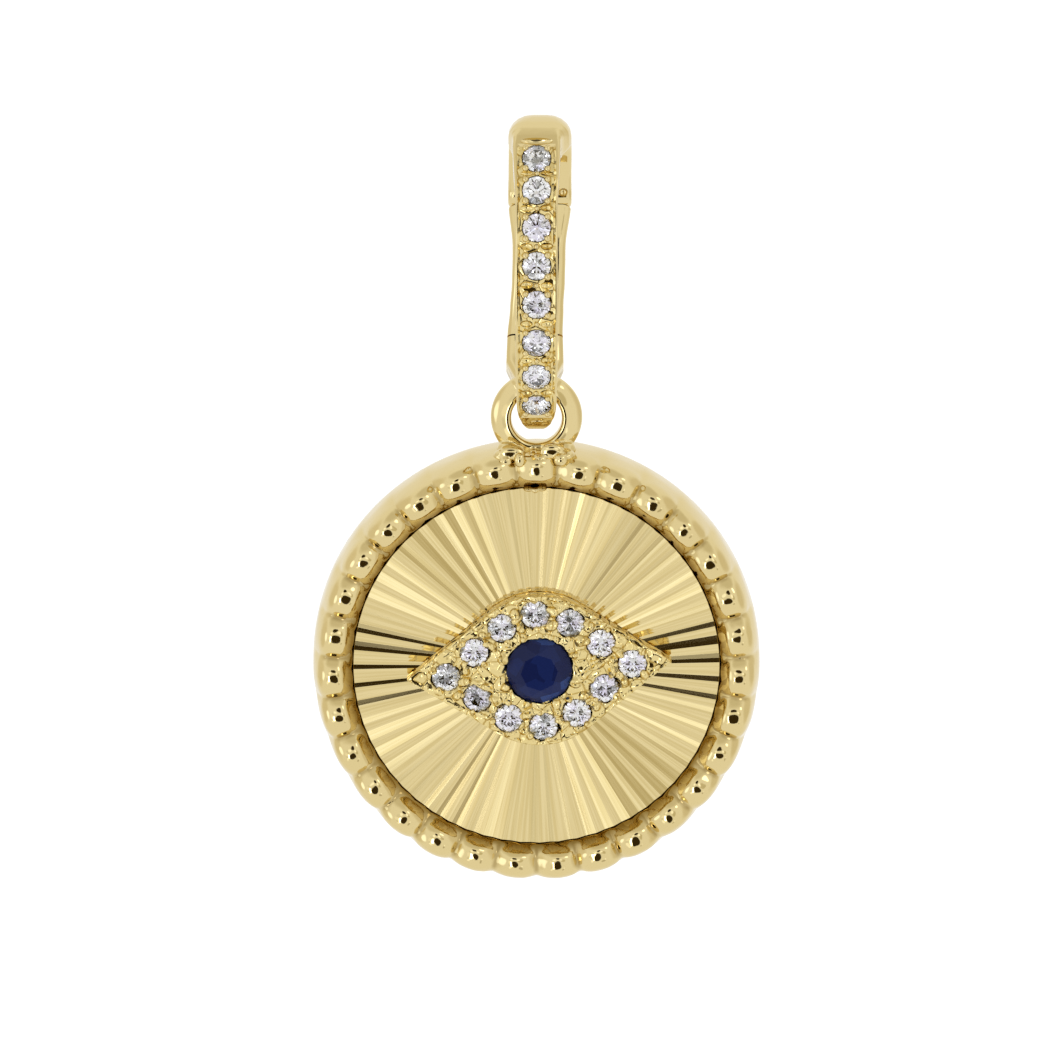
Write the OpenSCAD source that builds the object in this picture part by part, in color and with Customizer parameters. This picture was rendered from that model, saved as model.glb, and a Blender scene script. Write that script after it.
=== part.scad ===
// Evil eye pendant: a beaded round case with a fluted disc and a stone-set eye,
// hanging by its loop from a hinged, diamond-set bail.
// The origin is the highest point inside the bail, where a chain lies. The front faces -Y.

/* [Bail] */
// Height of the bail, outside
bail_h = 11.4; // [10.4:0.2:14]
// Depth of the bail from front to back, outside
bail_depth = 6.2; // [5.8:0.1:8]
// Thickness of the bail's metal
bail_t = 1.15; // [1:0.05:1.3]
// Width of the front band, across its rails
front_w = 1.5; // [1.4:0.05:1.8]
// Width of the dome over the top
top_w = 2.25; // [2:0.05:2.6]
// Width of the shoulders beside the highest stone
shoulder_w = 1.7; // [1.6:0.05:1.95]
// Width of the back, at the middle of the gate
back_w = 1.9; // [1.7:0.05:2.3]
// Width of the back just above the foot
heel_w = 2.05; // [1.7:0.05:2.3]
// Width of the foot that passes through the loop
foot_w = 1.1; // [1:0.05:1.3]
// Rounding of the front band's edges
front_round = 0.1; // [0.05:0.01:0.2]
// Rounding of the plain stretch's edges
back_round = 0.35; // [0.15:0.05:0.45]
// Rounding of the dome's outer edges
dome_round = 0.55; // [0.45:0.05:0.85]

/* [Gate] */
// Height of the hinge pin above the middle of the bail
hinge_up = 2.4; // [1.8:0.1:2.8]
// Depth of the catch below the middle of the bail
catch_down = 3; // [2.4:0.1:3.2]
// Diameter of the hinge pin
pin_d = 0.5; // [0.4:0.05:0.6]
// Diameter of the knuckles round the pin
knuckle_d = 1.26; // [1.25:0.05:1.4]
// Width of the gate's knuckle, between the two of the bail
tongue_w = 0.72; // [0.6:0.02:0.9]

/* [Loop] */
// Diameter of the loop's hole
loop_hole_d = 1.78; // [1.7:0.02:2.4]
// Diameter of the loop's wire
loop_wire_d = 0.75; // [0.55:0.01:0.8]
// Depth to which the loop is soldered into the case
loop_sink = 0.62; // [0.4:0.02:0.7]

/* [Case] */
// Width of the case's rim, from the disc to the outside
rim_w = 1.45; // [1.4:0.05:2]
// Depth of the case from the bead ledge to the back
case_depth = 1.8; // [1.6:0.1:2.4]
// Width of the rounded wall outside the bead ledge
case_shoulder = 0.4; // [0.2:0.05:0.5]
// Rounding of the back edge
case_back_round = 0.35; // [0.2:0.05:0.5]
// Width of the lip that carries the disc
seat_lip_w = 0.6; // [0.4:0.05:1]
// Thickness of that lip
seat_lip_t = 0.4; // [0.3:0.05:0.6]
// Diameter of a bead
bead_d = 1.34; // [1.1:0.02:1.4]
// Spacing of the beads round the case
bead_pitch = 1.46; // [1.42:0.02:1.6]
// Distance from the disc's edge to the bead centres
bead_out = 0.73; // [0.7:0.01:0.8]
// Depth of the bead centres below the ledge
bead_sink = 0.06; // [0:0.02:0.2]
// How far the beads reach past the ledge towards the disc
bead_overhang = 0.2; // [0.1:0.02:0.25]
// Depth of the groove round the disc, below the bead ledge
groove_depth = 0.28; // [0.1:0.02:0.35]

/* [Fluted disc] */
// Diameter of the fluted disc
disc_d = 13.1; // [12.6:0.1:16]
// Thickness of the disc over its ridges
disc_t = 0.58; // [0.5:0.02:0.8]
// Height of the ridges above the bead ledge
disc_proud = 0.1; // [0:0.02:0.2]
// Number of flutes
flute_count = 60; // [36:1:72]
// Slope of the two sides of a flute, in degrees
flute_slope = 14; // [8:1:18]
// Turn of the first ridge from the right-hand side, in degrees
flute_turn = 1; // [0:0.5:6]

/* [Eye] */
// Distance of the eye's tips from its middle
eye_tip = 4.75; // [4.6:0.05:5.5]
// Radius of the round middle of the eye
eye_mid_r = 2.75; // [2.7:0.05:3]
// Thickness of the eye plate
eye_t = 0.7; // [0.62:0.02:0.9]
// Turn of the eye, in degrees, anticlockwise from the front
eye_turn = 4.3; // [-6:0.1:6]
// Offset of the eye to the right
eye_off = 0.1; // [0:0.05:0.2]
// Diameter of a bead prong
grain_d = 0.3; // [0.24:0.01:0.32]

/* [Stones] */
// Diameter of a diamond
diamond_d = 1; // [0.9:0.02:1.04]
// Diameter of the sapphire
sapphire_d = 2.36; // [2.2:0.02:2.4]
// Depth of a stone's girdle below the metal round it
girdle_sink = 0.05; // [0.03:0.01:0.08]

/* [Clearances] */
// Gap round a stone in its seat
stone_gap = 0.02; // [0.015:0.005:0.03]
// Gap round the disc in the case, and under the disc and the eye plate
set_gap = 0.03; // [0.02:0.01:0.05]
// Radial gap of the pin in the knuckles
pin_gap = 0.03; // [0.02:0.01:0.05]
// Gap between the knuckles, and between a knuckle and the metal that it turns past
hinge_gap = 0.05; // [0.04:0.01:0.06]
// Gap between the gate and the catch
catch_gap = 0.06; // [0.04:0.01:0.08]
// Gap between the loop and the foot of the bail
loop_gap = 0.04; // [0.03:0.01:0.06]

/* [Hidden] */

gold = "#d8b868";
ice = "#eef0f6";
navy = "#1c2c5c";
fine = 64;   // facets of a true round, which is cut as a circle
over = 0.5;  // how far a cutting tool reaches past what it cuts

// Bail: an oval ring in the upright plane from front to back.
// Angles run from the back, over the top at 90, to the front at 180 and the foot at 270.
bail_a = bail_h / 2;
bail_b = bail_depth / 2;
bail_mid_z = -(bail_a - bail_t);
ring_step = 5;
mid_a = bail_a - bail_t / 2;
mid_b = bail_b - bail_t / 2;
hinge_at = asin(hinge_up / mid_a);
catch_at = 360 - asin(catch_down / mid_a);
hinge_y = mid_b * cos(hinge_at);
hinge_z = bail_mid_z + hinge_up;
knuckle_r = knuckle_d / 2;
knuckle_clear_r = knuckle_r + hinge_gap;
knuckle_proud = 0.02;   // how far the knuckles stand out at each side
bore_pin_r = pin_d / 2 + pin_gap;
catch_gap_angle = catch_gap / 2 / norm([mid_b * sin(catch_at), mid_a * cos(catch_at)]) * 180 / PI;

foot_round = 2 * front_round;

// Width of the ring: angle, width
width_rows = [
  [0, back_w], [4, back_w], [26, top_w], [94, top_w], [115, shoulder_w], [150, front_w],
  [205, front_w], [250, foot_w], [294, foot_w], [309, heel_w], [345, back_w], [360, back_w],
];
knuckle_w = eased(width_rows, hinge_at) + 2 * knuckle_proud;
// Rounding of the ring's edges: angle, radius
round_rows = [
  [0, back_round], [42, back_round], [62, dome_round], [98, dome_round],
  [120, back_round], [150, front_round], [225, front_round],
  [245, foot_round], [300, foot_round], [320, back_round], [360, back_round],
];
// Places of the bail's stones, in degrees above the front
bail_stone_at = [53.5, 38.5, 23.5, 9.3, -4.9, -19.8, -35, -52];

// Stones: shares of the diameter of a round brilliant
table_share = 0.56;
crown_share = 0.15;
girdle_share = 0.03;
pavilion_share = 0.43;
star_share = 0.54;   // how far down the crown the star facets reach
half_share = 0.24;   // radius where the lower halves end
seat_ledge = 0.04;   // straight wall of a seat below the girdle
seat_tip_share = 0.2;   // radius at the bottom of a seat

// Loop: it hangs on the two inner edges of the foot.
loop_r = loop_hole_d / 2;
wire_r = loop_wire_d / 2;
loop_mid_r = loop_r + wire_r;
loop_drop = foot_round + sqrt(pow(loop_r - loop_gap - foot_round, 2) - pow(foot_w / 2 - foot_round, 2));
loop_z = bail_mid_z - (bail_a - bail_t) - loop_drop;

// Case: heights run from the plane that the disc seats on towards the front.
disc_r = disc_d / 2;
case_r = disc_r + rim_w;
bore_r = disc_r + set_gap;
case_z = loop_z - loop_mid_r - wire_r + loop_sink - case_r;
ridge_h = set_gap + disc_t;
ledge_h = ridge_h - disc_proud;
back_h = ledge_h - case_depth;
groove_h = ledge_h - groove_depth;
bead_ring_r = disc_r + bead_out;
bead_count = round(2 * PI * bead_ring_r / bead_pitch);
ledge_in_r = bead_ring_r - bead_d / 2 + bead_overhang;
shoulder_h = ledge_h - 2 * case_shoulder;
arc_steps = 5;
flute_depth = disc_r * sin(180 / flute_count) * tan(flute_slope);
sapphire_relief_r = 0.28 * sapphire_d;

// Eye: heights run from the same plane.
eye_back_h = ridge_h + set_gap;
eye_front_h = eye_back_h + eye_t;
eye_arc = acos(eye_mid_r / eye_tip);
eye_steps = 12;
// Places of the eye's stones: shares of the tip distance and of the middle radius
eye_stone_rows = [[0.703, 0], [0.478, 0.302], [0.257, 0.604], [0, 0.753]];
eye_stone_at = [
  for (i = [0 : 11])
    let (quarter = floor(i / 3), k = i % 3, row = eye_stone_rows[quarter % 2 == 0 ? k : 3 - k])
    [
      (quarter == 0 || quarter == 3 ? 1 : -1) * row[0] * eye_tip,
      (quarter < 2 ? 1 : -1) * row[1] * eye_mid_r,
    ]
];
grain_off_share = 0.28;   // from the line between two stones, as a share of their diameter
claw_count = 8;

// Eased value between the rows of a table
function ease(t) = t * t * (3 - 2 * t);
function eased(rows, a, i = 0) =
  a <= rows[i + 1][0] || i + 2 == len(rows)
    ? rows[i][1] + (rows[i + 1][1] - rows[i][1]) * ease((a - rows[i][0]) / (rows[i + 1][0] - rows[i][0]))
    : eased(rows, a, i + 1);

// Point of the ring: angle, depth below the outside, place across
function ring_point(a, depth, x) = [
  x,
  (bail_b - depth) * cos(a),
  bail_mid_z + (bail_a - depth) * sin(a),
];

// Section of the ring at an angle: a rectangle with round corners.
// The inner corners have the room that the outer ones leave.
function ring_section(a) =
  let (
    turn = (a + 360) % 360,
    w = eased(width_rows, turn) / 2,
    round_out = eased(round_rows, turn),
    round_in = min(round_out, (bail_t - round_out) / 1.2)
  )
  [
    for (corner = [[1, 0, 0], [1, 1, 90], [-1, 1, 180], [-1, 0, 270]], bend = [0, 22.5, 45, 67.5, 90])
      let (
        c = corner[2] + bend,
        r = corner[1] == 0 ? round_out : round_in,
        middle = corner[1] == 0 ? r : bail_t - r
      )
      ring_point(a, middle - r * cos(c), corner[0] * (w - r) + r * sin(c))
  ];

// Closed tube through a list of sections with the same number of points
module skin(sections) {
  n = len(sections[0]);
  last = len(sections) - 1;
  points = [for (s = sections) each s];
  faces = [
    [for (j = [n - 1 : -1 : 0]) j],
    for (i = [0 : last - 1], j = [0 : n - 1])
      let (k = (j + 1) % n)
      each [
        [i * n + j, (i + 1) * n + k, (i + 1) * n + j],
        [i * n + j, i * n + k, (i + 1) * n + k],
      ],
    [for (j = [0 : n - 1]) last * n + j],
  ];
  polyhedron(points, faces);
}

// Stretch of the ring between two angles
module ring_stretch(from, to) {
  count = ceil((to - from) / ring_step);
  skin([for (i = [0 : count]) ring_section(from + (to - from) * i / count)]);
}

// Puts its children on the hinge axis, with their own axis across the bail
module on_hinge() translate([0, hinge_y, hinge_z]) rotate([0, 90, 0]) children();

// Puts its children on the outside of the bail's front, facing outwards
module on_front(angle) {
  p = [-bail_b * cos(angle), bail_mid_z + bail_a * sin(angle)];
  lean = atan2(sin(angle) / bail_a, cos(angle) / bail_b);
  translate([0, p[0], p[1]]) rotate([90 - lean, 0, 0]) children();
}

// Puts its children on the case, facing the front
module on_case() translate([0, 0, case_z]) rotate([90, 0, 0]) children();

// Puts its children on the middle of the eye plate
module on_eye() on_case() translate([eye_off, 0, 0]) rotate([0, 0, eye_turn]) children();

// Round brilliant with its girdle's top at height 0
module brilliant(d) {
  r = d / 2;
  crown = crown_share * d;
  table_r = table_share * r;
  slope = crown / (r - table_r);
  star_r = table_r + (r - table_r) * star_share;
  star_h = slope * (r - star_r * cos(22.5));
  deep = pavilion_share * d;
  half_r = half_share * r;
  half_h = deep * (1 - half_share * cos(22.5));
  rim_h = girdle_share * d;
  function spot(radius, a, h) = [radius * cos(a), radius * sin(a), h];
  points = [
    for (k = [0 : 7]) spot(table_r, 45 * k, crown),
    for (k = [0 : 7]) spot(star_r, 45 * k + 22.5, star_h),
    for (k = [0 : 15]) spot(r, 22.5 * k, 0),
    for (k = [0 : 15]) spot(r, 22.5 * k, -rim_h),
    for (k = [0 : 7]) spot(half_r, 45 * k + 22.5, -rim_h - half_h),
    [0, 0, -rim_h - deep],
  ];
  top = 0;
  star = 8;
  edge = 16;
  low = 32;
  half = 48;
  tip = 56;
  faces = [
    [for (k = [7 : -1 : 0]) top + k],
    for (k = [0 : 7])
      let (n = (k + 1) % 8, e = 2 * k, m = 2 * k + 1, f = (2 * k + 2) % 16)
      each [
        [top + k, top + n, star + k],
        [top + n, star + n, edge + f, star + k],
        [edge + e, star + k, edge + m],
        [edge + m, star + k, edge + f],
        [edge + e, edge + m, low + m, low + e],
        [edge + m, edge + f, low + f, low + m],
        [low + e, low + m, half + k],
        [low + m, low + f, half + k],
        [low + f, half + n, tip, half + k],
      ],
  ];
  polyhedron(points, faces);
}

// Cutter for the seat of a stone, with its girdle's top at height 0
module seat(d, through = 0) {
  r = d / 2 + stone_gap;
  deep = (pavilion_share + girdle_share) * d + stone_gap;
  ledge = girdle_share * d + seat_ledge;
  translate([0, 0, -ledge]) cylinder(h = ledge + crown_share * d + over, r = r, $fn = fine);
  translate([0, 0, -deep]) cylinder(h = deep - ledge, r1 = seat_tip_share * r, r2 = r, $fn = fine);
  if (through > 0)
    translate([0, 0, -deep - over]) cylinder(h = deep + over - ledge, r = through, $fn = fine);
}

// Bead prong: a small ball that rises from the metal
module grain() sphere(d = grain_d, $fn = fine);

// Round the pin, a cylinder across the bail
module across_hinge(width, r) on_hinge() cylinder(h = width, r = r, center = true, $fn = fine);

// Bail: everything but the gate
module bail_front() color(gold)
  difference() {
    union() {
      ring_stretch(hinge_at, catch_at - catch_gap_angle);
      across_hinge(knuckle_w, knuckle_r);
    }
    across_hinge(tongue_w + 2 * hinge_gap, knuckle_clear_r);
    across_hinge(knuckle_w + over, bore_pin_r);
    for (a = bail_stone_at) on_front(a) translate([0, 0, -girdle_sink]) seat(diamond_d);
  }

// Gate: the back of the ring, with its knuckle between the two of the bail
module bail_gate() color(gold)
  difference() {
    union() {
      ring_stretch(catch_at - 360 + catch_gap_angle, hinge_at);
      across_hinge(knuckle_w, knuckle_r);
    }
    for (side = [0, 180])
      on_hinge() rotate([side, 0, 0]) translate([0, 0, tongue_w / 2])
        cylinder(h = top_w, r = knuckle_clear_r, $fn = fine);
    across_hinge(knuckle_w, bore_pin_r);
  }

// Pin through the three knuckles, flush with them
module hinge_pin() color(gold)
  across_hinge(knuckle_w, pin_d / 2);

// Section of the case: radius, height
function case_section() = [
  [bore_r - seat_lip_w, -seat_lip_t],
  [bore_r, -seat_lip_t],
  [bore_r, back_h],
  for (i = [0 : arc_steps])
    let (a = 90 * i / arc_steps)
    [case_r - case_back_round * (1 - sin(a)), back_h + case_back_round * (1 - cos(a))],
  for (i = [0 : arc_steps])
    let (a = 90 * i / arc_steps)
    [case_r - case_shoulder * (1 - cos(a)), shoulder_h + (ledge_h - shoulder_h) * sin(a)],
  [ledge_in_r, ledge_h],
  [bore_r, groove_h],
  [bore_r, 0],
  [bore_r - seat_lip_w, 0],
];

// Case with its ring of beads and the loop, soldered together
module rim() color(gold) {
  on_case() {
    rotate_extrude($fn = fine) polygon(case_section());
    for (i = [0 : bead_count - 1])
      rotate([0, 0, 90 + 360 * i / bead_count])
        translate([bead_ring_r, 0, ledge_h - bead_sink]) sphere(d = bead_d, $fn = fine);
  }
  translate([0, 0, loop_z]) rotate([90, 0, 0])
    rotate_extrude($fn = fine) translate([loop_mid_r, 0]) circle(r = wire_r, $fn = fine);
}

// Disc whose flutes taper to the centre, open behind the sapphire
module fluted_disc() color(gold)
  on_case() difference() {
    flutes();
    translate([eye_off, 0, 0])
      cylinder(h = 3 * ridge_h, r = sapphire_relief_r, center = true, $fn = fine);
  }

// The disc before it is drilled: ridges and valleys alternate round its edge
module flutes() {
  n = 2 * flute_count;
  points = [
    [0, 0, ridge_h],
    [0, 0, set_gap],
    for (i = [0 : n - 1])
      let (a = flute_turn + 360 * i / n)
      [disc_r * cos(a), disc_r * sin(a), ridge_h - (i % 2) * flute_depth],
    for (i = [0 : n - 1])
      let (a = flute_turn + 360 * i / n)
      [disc_r * cos(a), disc_r * sin(a), set_gap],
  ];
  faces = [
    for (i = [0 : n - 1])
      let (j = (i + 1) % n)
      each [
        [0, 2 + j, 2 + i],
        [2 + i, 2 + j, 2 + n + j],
        [2 + i, 2 + n + j, 2 + n + i],
        [1, 2 + n + i, 2 + n + j],
      ],
  ];
  polyhedron(points, faces);
}

// Outline of the eye: a round middle with straight flanks that meet in two tips
function eye_outline() = [
  for (half = [0, 180])
    each [
      eye_tip * [cos(half), sin(half)],
      for (i = [0 : eye_steps])
        let (a = half + eye_arc + (180 - 2 * eye_arc) * i / eye_steps)
        eye_mid_r * [cos(a), sin(a)],
    ],
];

// Place of the bead prong beside the gap between two stones; side is 1 outside, -1 inside
function grain_place(p, q, side) =
  let (d = (q - p) / norm(q - p)) (p + q) / 2 + side * grain_off_share * diamond_d * [d[1], -d[0]];

// Eye plate with its seats and bead prongs
module eye_plate() color(gold)
  on_eye() difference() {
    union() {
      translate([0, 0, eye_back_h]) linear_extrude(eye_t) polygon(eye_outline());
      for (i = [0 : 11], side = [-1, 1])
        let (g = grain_place(eye_stone_at[i], eye_stone_at[(i + 1) % 12], side))
        translate([g[0], g[1], eye_front_h]) grain();
      for (i = [0 : claw_count - 1])
        rotate([0, 0, 360 * (i + 0.5) / claw_count])
          translate([(sapphire_d + grain_d) / 2, 0, eye_front_h]) grain();
    }
    for (p = eye_stone_at) translate([p[0], p[1], eye_front_h - girdle_sink]) seat(diamond_d);
    translate([0, 0, eye_front_h - girdle_sink]) seat(sapphire_d, sapphire_relief_r);
  }

// Pupil of the eye
module sapphire() color(navy)
  on_eye() translate([0, 0, eye_front_h - girdle_sink]) brilliant(sapphire_d);

// One stone of the bail, counted from the top
module bail_diamond(i) color(ice)
  on_front(bail_stone_at[i - 1]) translate([0, 0, -girdle_sink])
    rotate([0, 0, 11 * i]) brilliant(diamond_d);

// One stone of the eye, counted anticlockwise from the right-hand tip
module eye_diamond(i) color(ice)
  on_eye() translate([eye_stone_at[i - 1][0], eye_stone_at[i - 1][1], eye_front_h - girdle_sink])
    rotate([0, 0, 17 * i]) brilliant(diamond_d);

bail_front();
bail_gate();
hinge_pin();
rim();
fluted_disc();
eye_plate();
sapphire();
for (i = [1 : 8]) bail_diamond(i);
for (i = [1 : 12]) eye_diamond(i);
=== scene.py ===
import math

import bpy
import numpy as np
from mathutils import Matrix, Vector


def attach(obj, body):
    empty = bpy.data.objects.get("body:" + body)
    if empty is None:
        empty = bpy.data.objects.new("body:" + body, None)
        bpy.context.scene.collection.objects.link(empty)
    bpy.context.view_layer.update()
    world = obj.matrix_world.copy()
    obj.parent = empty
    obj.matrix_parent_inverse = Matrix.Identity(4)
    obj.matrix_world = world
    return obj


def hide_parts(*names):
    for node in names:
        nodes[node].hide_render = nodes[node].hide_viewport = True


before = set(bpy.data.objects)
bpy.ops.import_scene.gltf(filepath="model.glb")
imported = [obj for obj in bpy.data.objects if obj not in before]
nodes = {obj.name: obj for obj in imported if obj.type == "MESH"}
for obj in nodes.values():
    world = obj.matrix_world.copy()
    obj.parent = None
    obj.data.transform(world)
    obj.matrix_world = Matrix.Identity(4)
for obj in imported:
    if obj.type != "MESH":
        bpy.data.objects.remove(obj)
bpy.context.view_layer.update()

MM = 0.001

# Sizes that the looks share with the solids, in millimetres
BAIL_A, BAIL_B, BAIL_T = 5.7, 3.1, 1.15            # half height, half depth, thickness
BAIL_Z = -4.55
HINGE_X, HINGE_Y, HINGE_Z = 0.12, 2.231, -2.15
HINGE_AT, CATCH_AT, CATCH_GAP = 27.92, 324.17, 0.42    # degrees round the bail, from its back over the top
KNUCKLE_R, KNUCKLE_W, TONGUE_W, BORE_R, PIN_R = 0.58, 2.27, 0.72, 0.28, 0.25
LOOP_R, LOOP_WIRE_R, LOOP_Z = 1.265, 0.375, -9.848
CASE_Z = -18.868
DISC_R, RIDGE_H, FLUTE_DEPTH = 6.55, 0.61, 0.085
EYE_TIP, EYE_R, EYE_BACK, EYE_FRONT = 4.75, 2.75, 0.64, 1.34
EYE_X, EYE_TURN = 0.1, math.radians(4.3)
STONE_R, SAPPHIRE_R, SINK = 0.5, 1.18, 0.05
SEAT_ROOM, SEAT_DEPTH, SAPPHIRE_SEAT_DEPTH = 0.03, 0.46, 0.6
BEADS = 31
BAIL_STONES = (53.5, 38.5, 23.5, 9.3, -4.9, -19.8, -35, -52)    # degrees up the bail's front


# Modelling, as by hand
def take(obj):
    """Makes one object the only selected one."""
    if bpy.context.object and bpy.context.object.mode != "OBJECT":
        bpy.ops.object.mode_set(mode="OBJECT")
    bpy.ops.object.select_all(action="DESELECT")
    obj.select_set(True)
    bpy.context.view_layer.objects.active = obj
    return obj


def new_piece(name):
    """Names the primitive that was just added."""
    obj = bpy.context.object
    obj.name = obj.data.name = name
    return obj


def spots(obj):
    """The places of a piece's points."""
    co = np.empty(len(obj.data.vertices) * 3)
    obj.data.vertices.foreach_get("co", co)
    return co.reshape(-1, 3)


def pick(obj, test, kind="VERT"):
    """In edit mode, selects the points, edges or faces that pass a test.

    The test gets the places of the points, of the edges' ends, or of the faces' middles with their normals.
    """
    if obj.mode != "OBJECT" or obj != bpy.context.object:
        take(obj)
    me, co = obj.data, spots(obj)
    for group in (me.vertices, me.edges, me.polygons):
        group.foreach_set("select", np.zeros(len(group), bool))
    if kind == "VERT":
        me.vertices.foreach_set("select", test(co))
    elif kind == "EDGE":
        ends = np.empty(len(me.edges) * 2, int)
        me.edges.foreach_get("vertices", ends)
        ends = ends.reshape(-1, 2)
        chosen = test(co[ends[:, 0]], co[ends[:, 1]])
        me.edges.foreach_set("select", chosen)
        flags = np.zeros(len(co), bool)
        flags[ends[chosen].ravel()] = True
        me.vertices.foreach_set("select", flags)
    else:
        mid, normal = np.empty(len(me.polygons) * 3), np.empty(len(me.polygons) * 3)
        me.polygons.foreach_get("center", mid)
        me.polygons.foreach_get("normal", normal)
        chosen = test(mid.reshape(-1, 3), normal.reshape(-1, 3))
        me.polygons.foreach_set("select", chosen)
        flags = np.zeros(len(co), bool)
        for p in np.flatnonzero(chosen):
            flags[list(me.polygons[p].vertices)] = True
        me.vertices.foreach_set("select", flags)
    bpy.context.tool_settings.mesh_select_mode = (kind == "VERT", kind == "EDGE", kind == "FACE")
    bpy.ops.object.mode_set(mode="EDIT")


def pick_all(obj):
    """In edit mode, selects the whole piece."""
    take(obj)
    bpy.ops.object.mode_set(mode="EDIT")
    bpy.ops.mesh.select_all(action="SELECT")


def move(x, y, z):
    bpy.ops.transform.translate(value=(x, y, z))


def stretch(x, y, z, about=(0, 0, 0)):
    bpy.ops.transform.resize(value=(x, y, z), center_override=about)


def done():
    bpy.ops.object.mode_set(mode="OBJECT")


def move_all(obj, x, y, z):
    """Moves a piece's mesh, so that its object stays at the origin."""
    pick_all(obj)
    move(x, y, z)
    done()


def tidy(obj, gap=1e-4):
    """Merges doubles and turns all faces outwards."""
    pick_all(obj)
    bpy.ops.mesh.remove_doubles(threshold=gap)
    bpy.ops.mesh.normals_make_consistent(inside=False)
    done()


def profile(name, points):
    """A closed line through the points: a circle whose corners are slid into place."""
    bpy.ops.mesh.primitive_circle_add(vertices=len(points), radius=1)
    obj = new_piece(name)
    starts = [v.co.copy() for v in obj.data.vertices]
    for i, (start, p) in enumerate(zip(starts, points)):
        pick(obj, lambda co: np.arange(len(co)) == i)
        move(*(Vector(p) - start))
    return obj


def modify(obj, kind, **settings):
    """Adds a modifier with its settings and applies it."""
    take(obj)
    mod = obj.modifiers.new(kind.title(), kind)
    for key, value in settings.items():
        setattr(mod, key, value)
    bpy.ops.object.modifier_apply(modifier=mod.name)


def roughen(obj, name, kind, size, strength, middle, chosen):
    """Raises and sinks the chosen points of a piece by a pattern of a size."""
    pattern = bpy.data.textures.new(name, kind)
    pattern.noise_scale = size
    obj.vertex_groups.new(name=name).add([int(v) for v in np.flatnonzero(chosen)], 1, "REPLACE")
    modify(obj, "DISPLACE", texture=pattern, texture_coords="LOCAL",
           strength=strength, mid_level=middle, vertex_group=name)


def join(name, parts):
    take(parts[0])
    for p in parts[1:]:
        p.select_set(True)
    if len(parts) > 1:
        bpy.ops.object.join()
    return new_piece(name)


def copy_to(obj, place):
    """A copy of a finished part, with its own mesh, set at a place."""
    twin = obj.copy()
    twin.data = obj.data.copy()
    bpy.context.collection.objects.link(twin)
    take(twin)
    twin.matrix_world = place
    bpy.ops.object.transform_apply(location=True, rotation=True, scale=True)
    return twin


def copies(name, obj, places):
    """Copies of one part at several places, joined."""
    made = join(name, [copy_to(obj, p) for p in places])
    bpy.data.objects.remove(obj)
    return made


def cut(obj, tool, keep="DIFFERENCE"):
    """Cuts a tool out of a piece, or adds it, and takes the tool away."""
    modify(obj, "BOOLEAN", operation=keep, solver="EXACT", object=tool)
    bpy.data.objects.remove(tool)


def smooth(obj, angle):
    take(obj)
    bpy.ops.object.shade_smooth_by_angle(angle=math.radians(angle))


def placed(x, y, z):
    return Matrix.Translation((x, y, z))


def sized(x, y, z):
    return Matrix.Diagonal((x, y, z, 1))


def wander(k, seed=0.0):
    """A fixed small unevenness for the k-th of a row, between -1 and 1."""
    return math.sin(12.9898 * (k + 1) + 4.1 * seed) * math.cos(7.233 * (k + 1) + seed)


def eased(rows, a):
    """Value between the rows of a table, eased."""
    for (a0, v0), (a1, v1) in zip(rows, rows[1:]):
        if a <= a1:
            t = (a - a0) / (a1 - a0)
            return v0 + (v1 - v0) * t * t * (3 - 2 * t)
    return rows[-1][1]


def levels(values, gap):
    """The separate values in a list, where those closer than a gap count as one."""
    values = np.sort(values)
    return values[np.append(True, np.diff(values) > gap)]


# The camera, 14 degrees above the pendant, in metres
DISTANCE, TILT = 0.6, math.radians(14)
AIM = Vector((-0.000446, 0, -0.01379))
SENSOR, VIEW_WIDTH = 36, 0.03743     # the sensor in millimetres, and the width that the view takes in
camera = bpy.data.objects.new("camera", bpy.data.cameras.new("camera"))
bpy.context.collection.objects.link(camera)
camera.location = AIM + DISTANCE * Vector((0, -math.cos(TILT), math.sin(TILT)))
camera.rotation_euler = (math.radians(90) - TILT, 0, 0)
camera.data.lens = SENSOR * DISTANCE / VIEW_WIDTH
camera.data.clip_start, camera.data.clip_end = 0.05, 20
bpy.context.scene.camera = camera


# The bail, its gate and its pin
WIDTH_ROWS = (                       # turn round the bail in degrees, width
    (0, 1.9), (4, 1.9), (26, 2.25), (94, 2.25), (115, 1.7), (150, 1.5), (205, 1.5),
    (230, 1.42), (252, 1.1), (294, 1.1), (309, 2.05), (345, 1.9), (360, 1.9))
LEAN_ROWS = (                        # turn, how far the bail leans to the right
    (0, 0.09), (28, 0.12), (60, 0.13), (90, 0.12), (118, 0), (250, 0),
    (300, -0.06), (325, -0.05), (338, 0.01), (350, 0.07), (360, 0.09))
FRONT_TOP, FRONT_LOW = 117, 241      # the stone-set stretch, in degrees round the bail
LAST_GRAIN = 236                     # where the cut metal under the lowest stone gives way to polish
BAND_STRETCHES = (                   # from, to, rounding outside and inside
    (HINGE_AT, 44, 0.42, 0.25), (54, 94, 0.72, 0.2), (100, 102, 0.56, 0.2), (106, 108, 0.38, 0.2),
    (112, 114, 0.2, 0.18), (118, 120, 0.15, 0.15), (126, 128, 0.11, 0.15), (136, FRONT_LOW, 0.06, 0.15),
    (248, 250, 0.22, 0.17), (258, 292, 0.5, 0.2), (310, CATCH_AT - CATCH_GAP, 0.42, 0.25))
GATE_STRETCHES = ((CATCH_AT - 360 + CATCH_GAP, HINGE_AT, 0.42, 0.25),)
SECTION_W = 1.86                     # width at which a section's corners are rounded
SWEEP_STEP, ROUND_SEGMENTS = 2.4, 5
RAIL_EDGE, CHANNEL_SIDE, CHANNEL_DEPTH = 0.03, 0.085, 0.06
CONE_DROP, CONE_TIP, SEAT_WALL = 0.07, 0.2, 0.6    # of a seat's cutter
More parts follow.
